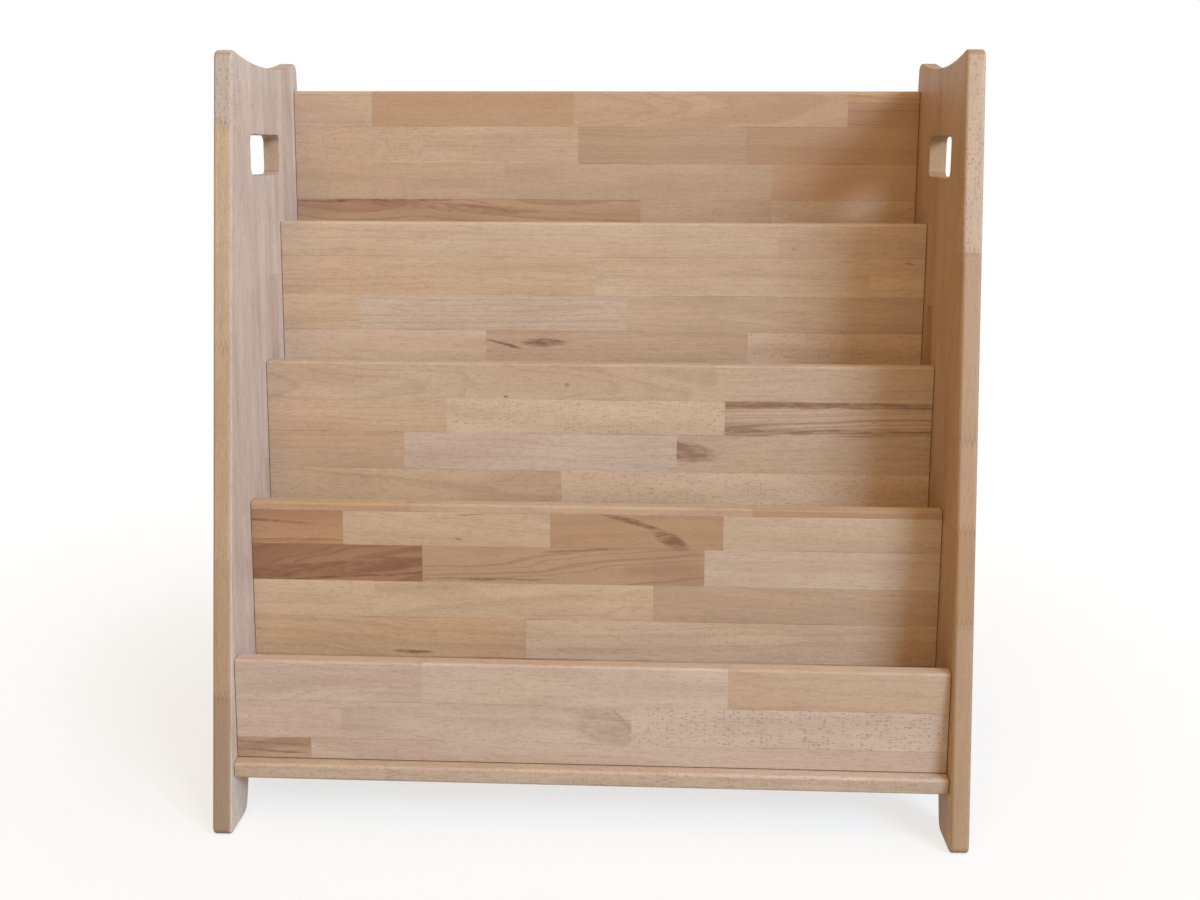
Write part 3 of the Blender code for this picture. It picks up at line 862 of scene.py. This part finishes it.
# Rows from the back edge to the front, in millimetres, with where each stave ends along its
# length from below
PANEL_STAVES = {
    # Painted light: the pale greyish 'ash' on this panel's faces also stands for the cool window light
    # on its inner face
    "side_panel_left": (
        (60, ((304, "ash", "rift"), (0, "ash", "quarter"))),
        (39, ((524, "ash", "quarter"), (0, "ash", "rift"))),
        (40, ((414, "ash", "quarter"), (0, "ash", "rift"))),
        (41, ((254, "ash", "rift"), (0, "ash/straw", "quarter"))),
        (30, ((594, "ash", "rift"),
              (0, "ash", "rift", (690, 192, 130, 1.4, 0.0, 0.4), (680, 201, 150, 1.2, 0.0, 0.35)))),
        (41, ((384, "ash", "rift"), (0, "ash", "quarter"))),
        (41, ((284, "ash", "quarter"), (0, "ash", "rift"))),
        (44, ((334, "ash", "rift"), (750, "ash/pale", "rift"), (0, "ash/stone", "speckled"))),
        (38, ((520, "ash/tan", "rift"), (0, "ash/sand", "rift"))),
        (60, ((150, "ash/drab", "rift"), (0, "ash/fawn", "rift"))),
    ),
    # Painted shade: the tones after a slash, on this panel's front edge, are darker than the wood, to
    # offset part of the window light that falls on it
    "side_panel_right": (
        (60, ((354, "malt", "rift"), (0, "wheat", "quarter"))),
        (39, ((484, "wheat", "quarter"), (0, "malt", "rift"))),
        (40, ((304, "malt", "rift"), (0, "wheat", "quarter"))),
        (41, ((424, "malt", "rift"), (0, "wheat/copper", "quarter"))),
        (30, ((564, "malt", "streaked"), (0, "malt", "rift"))),
        (41, ((244, "malt", "rift"), (0, "wheat", "rift"))),
        (41, ((384, "malt", "rift"), (0, "wheat", "quarter"))),
        (44, ((334, "wheat", "rift"), (622, "malt/hazel", "quarter"), (0, "wheat/sand", "speckled"))),
        (38, ((339, "malt/auburn", "rift"), (430, "wheat/bronze", "quarter"),
              (0, "wheat/hazel", "quarter"))),
        (60, ((241, "malt/hazel", "rift"), (0, "wheat/auburn", "rift"))),
    ),
}

panel_places = [upright_grain @ Vector((0, y, z)) for y in (front_y, rear_y) for z in (0, PANEL_HEIGHT)]
panel_from = Vector((min(place.x for place in panel_places), min(place.y for place in panel_places)))
panel_to = Vector((max(place.x for place in panel_places), max(place.y for place in panel_places)))
for node, panel in (("side_panel_left", side_panel), ("side_panel_right", other_panel)):
    drill(panel)
    rows = seen_rows(PANEL_STAVES[node], panel_from.x, panel_to.y)
    cut_staves(panel, upright_grain, plan_staves(panel_from, panel_to, rows, node))
    dress(panel, upright_beech, node)

# Furniture screws: countersunk steel screws, 50 mm long, with a hexagon socket. Turned and
# rolled, then zinc-plated, which gives a bright bluish grey with a faint uneven haze.


def zinc_plate(name):
    """Bright zinc on steel: blue-grey, glossy, with soft cloudy patches in the plating."""
    material = bpy.data.materials.new(name)
    material.use_nodes = True
    tree = material.node_tree
    shader = tree.nodes["Principled BSDF"]
    place = add(tree, "TexCoord")["Object"]
    haze = add(tree, "TexNoise", {"Vector": place, "Scale": 420.0, "Detail": 4.0})["Fac"]
    colour = add(tree, "Mix", {0: haze, 6: linear("C9CCCF"), 7: linear("9A9C9E")}, data_type="RGBA")[2]
    tree.links.new(colour, shader.inputs["Base Color"])
    rough = add(tree, "MapRange", {"Value": haze, 1: 0.3, 2: 0.7, 3: 0.24, 4: 0.42})[0]
    tree.links.new(rough, shader.inputs["Roughness"])
    shader.inputs["Metallic"].default_value = 1.0
    bump = add(tree, "Bump", {"Strength": 0.2, "Distance": 0.05 * MM, "Height": haze})[0]
    tree.links.new(bump, shader.inputs["Normal"])
    return material


SCREW_THREAD_RADIUS = 2.75 * MM
SCREW_NECK_END = 16 * MM
SCREW_TIP = 5 * MM
SOCKET_WIDTH = 4 * MM
SOCKET_DEPTH = 2.2 * MM
SCREW_HEAD_ARRIS = 0.25 * MM
SCREW_HEAD_TURN = radians(113)

zinc = zinc_plate("zinc_plated_steel")
screw = new_cone("screw", SCREW_HEAD_RADIUS, SCREW_NECK_RADIUS)
to_neck_end = SCREW_NECK_END - SCREW_HEAD_HEIGHT
to_tip = SCREW_LENGTH - SCREW_TIP - SCREW_NECK_END
to_thread = SCREW_THREAD_RADIUS / SCREW_NECK_RADIUS
for run, share in ((to_neck_end, 1), (0, to_thread), (to_tip, 1), (SCREW_TIP, 0.1)):
    extrude(screw, run, lambda face: face.normal.x > 0.9)
    choose(screw, "FACE", lambda face: face.normal.x > 0.9)
    bpy.ops.transform.resize(value=(1, share, share))
    bpy.ops.object.mode_set(mode="OBJECT")
bpy.ops.mesh.primitive_cylinder_add(
    vertices=6, radius=SOCKET_WIDTH / 2 / cos(pi / 6), depth=2 * SOCKET_DEPTH,
    rotation=(0, pi / 2, 0))
take_away(screw, settled("socket"))


def on_head_rim(first, second):
    """A test for the edges round the flat of the head, outside the socket."""
    return max(first.x, second.x) < 0.01 * MM and first.yz.length > SOCKET_WIDTH


round_over(screw, SCREW_HEAD_ARRIS, SCREW_HEAD_TURN, segments=2, test=on_head_rim)

draw = random.Random("screws")
for node in screw_nodes:
    turn = screw_place(node) @ Matrix.Rotation(draw.uniform(0, pi / 3), 4, "X")
    dress(copy_of(screw, node + "_zinc", turn), zinc, node)
for model in (screw, hole):
    bpy.data.objects.remove(model)

# Photographer's set: a pale floor that keeps the shelf's shadow, a white surround, a large
# cool window at the front right with a broader, weaker one beside it, and warm light from
# the ceiling and from a weak lamp at the front left.

FLOOR_SIZE = 12.0
FLOOR_GAP = 0.2 * MM


def white_seen(tree):
    """1 for rays from the camera, and for mirrored or refracted ones, which see white too."""
    path = add(tree, "LightPath")
    seen = maths(tree, "MAXIMUM", path["Is Camera Ray"], path["Is Glossy Ray"])
    return maths(tree, "MAXIMUM", seen, path["Is Transmission Ray"])


bpy.ops.mesh.primitive_plane_add(size=FLOOR_SIZE, location=(0, 0, -FLOOR_GAP))
floor_sheet = bpy.context.object
floor_sheet.name = "studio_floor"
floor_paint = bpy.data.materials.new("white_floor_paint")
floor_paint.use_nodes = True
tree = floor_paint.node_tree
paint = tree.nodes["Principled BSDF"]
paint.inputs["Base Color"].default_value = linear("C8C8C6")
paint.inputs["Roughness"].default_value = 0.9
paint.inputs["Specular IOR Level"].default_value = 0.0
reach = add(tree, "VectorMath", {0: add(tree, "TexCoord")["Object"]}, operation="LENGTH")["Value"]
near = fade(tree, reach, 1.5, 0.4)
level = add(tree, "MapRange", {"Value": near, 3: 1.0, 4: 1.30})[0]
glow = add(tree, "Emission", {"Color": (1, 1, 1, 1), "Strength": level})[0]
near = maths(tree, "MULTIPLY", near, 0.45)
both = add(tree, "MixShader", {0: near, 1: glow, 2: paint.outputs[0]})[0]
shown = add(tree, "MixShader", {0: white_seen(tree), 1: paint.outputs[0], 2: both})[0]
tree.links.new(shown, tree.nodes["Material Output"].inputs["Surface"])
floor_sheet.data.materials.append(floor_paint)

surround = bpy.data.worlds.new("white_surround")
surround.use_nodes = True
bpy.context.scene.world = surround
tree = surround.node_tree
room = add(tree, "Background", {"Color": linear("FFDDA0"), "Strength": 0.38})[0]
white = add(tree, "Background", {"Color": (1, 1, 1, 1), "Strength": 1.0})[0]
mixed = add(tree, "MixShader", {0: white_seen(tree), 1: room, 2: white})[0]
tree.links.new(mixed, tree.nodes["World Output"].inputs["Surface"])

LAMPS = (
    # name, degrees to the right, degrees up, distance, width, height, watts, colour
    ("window", 41, 29, 8.0, 3.0, 2.4, 592, "BCDCFF"),
    ("side_window", 72, 22, 6.0, 5.0, 3.6, 88, "D2E4FF"),
    ("ceiling", 5, 62, 3.0, 2.4, 2.4, 36, "FFE2B8"),
    ("room_lamp", -17, 33, 3.0, 0.6, 0.6, 8, "FFE0BC"),
)
for name, turn, rise, distance, width, height, watts, tint in LAMPS:
    lamp = bpy.data.lights.new(name, "AREA")
    lamp.shape = "RECTANGLE"
    lamp.size = width
    lamp.size_y = height
    lamp.energy = watts
    lamp.color = linear(tint)[:3]
    holder = bpy.data.objects.new(name, lamp)
    bpy.context.collection.objects.link(holder)
    toward = Vector((sin(radians(turn)) * cos(radians(rise)), -cos(radians(turn)) * cos(radians(rise)),
                     sin(radians(rise))))
    aim = Vector((0, 0, PANEL_HEIGHT / 2))
    holder.location = aim + toward * distance
    holder.rotation_euler = toward.to_track_quat("Z", "Y").to_euler()

# Camera: at the photograph's place, a standing person's view from the front, a little to the
# right of the middle. Its turns are in radians and its focal length fits a 36 mm sensor.

CAMERA_PLACE = Vector((0.0659, -1.3869, 0.7184))
CAMERA_PITCH = 0.23818
CAMERA_YAW = 0.0441
CAMERA_ROLL = 0.00245

camera = bpy.data.cameras.new("photo_camera")
camera.lens = 37.5
camera.sensor_width = 36.0
camera.clip_start = 0.05
photographer = bpy.data.objects.new("photo_camera", camera)
bpy.context.collection.objects.link(photographer)
photographer.matrix_world = (
    Matrix.Translation(CAMERA_PLACE) @ Matrix.Rotation(CAMERA_YAW, 4, "Z")
    @ Matrix.Rotation(pi / 2 - CAMERA_PITCH, 4, "X") @ Matrix.Rotation(CAMERA_ROLL, 4, "Z")
)
bpy.context.scene.camera = photographer
bpy.context.scene.view_settings.view_transform = "Standard"
